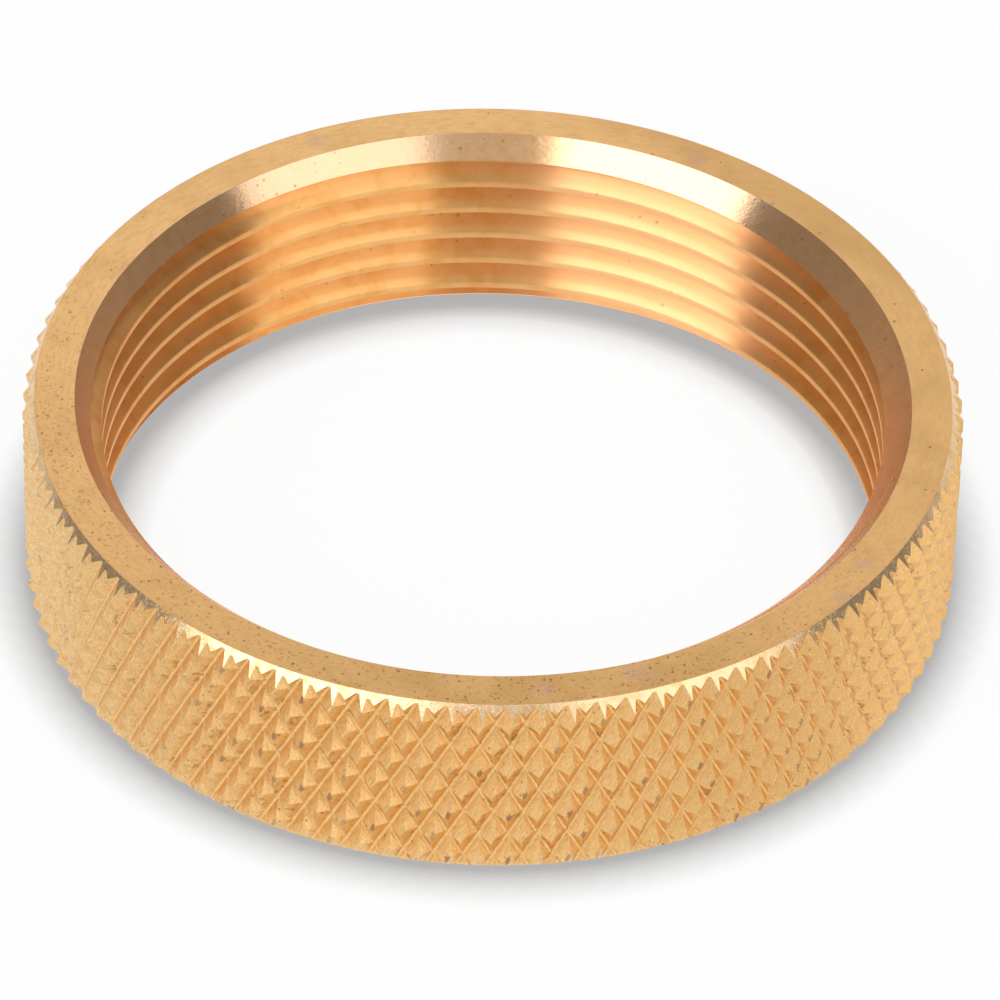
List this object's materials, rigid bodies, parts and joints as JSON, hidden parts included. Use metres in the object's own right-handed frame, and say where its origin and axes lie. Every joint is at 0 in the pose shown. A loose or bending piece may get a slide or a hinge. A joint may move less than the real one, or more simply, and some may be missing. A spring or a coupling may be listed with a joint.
{
  "type": "ring nut",
  "caption": "Round ring nut with a diamond-knurled outside, bevelled edges and a fine right-hand internal thread with a lead-in at each end.",
  "frame": {"origin": "centre of the lower face, on the axis of the threaded hole", "axes": "+Z along the axis of the hole, from the lower face up to the face with the wider lead-in; +X is free, the thread's groove passes it just above the lower face"},
  "size_m": [0.0418, 0.0418, 0.0093],
  "materials": {
    "brass": "turned satin brass, knurled outside, lightly tarnished"
  },
  "bodies": {
    "root": {"ring_nut": "brass"}
  },
  "joints": []
}
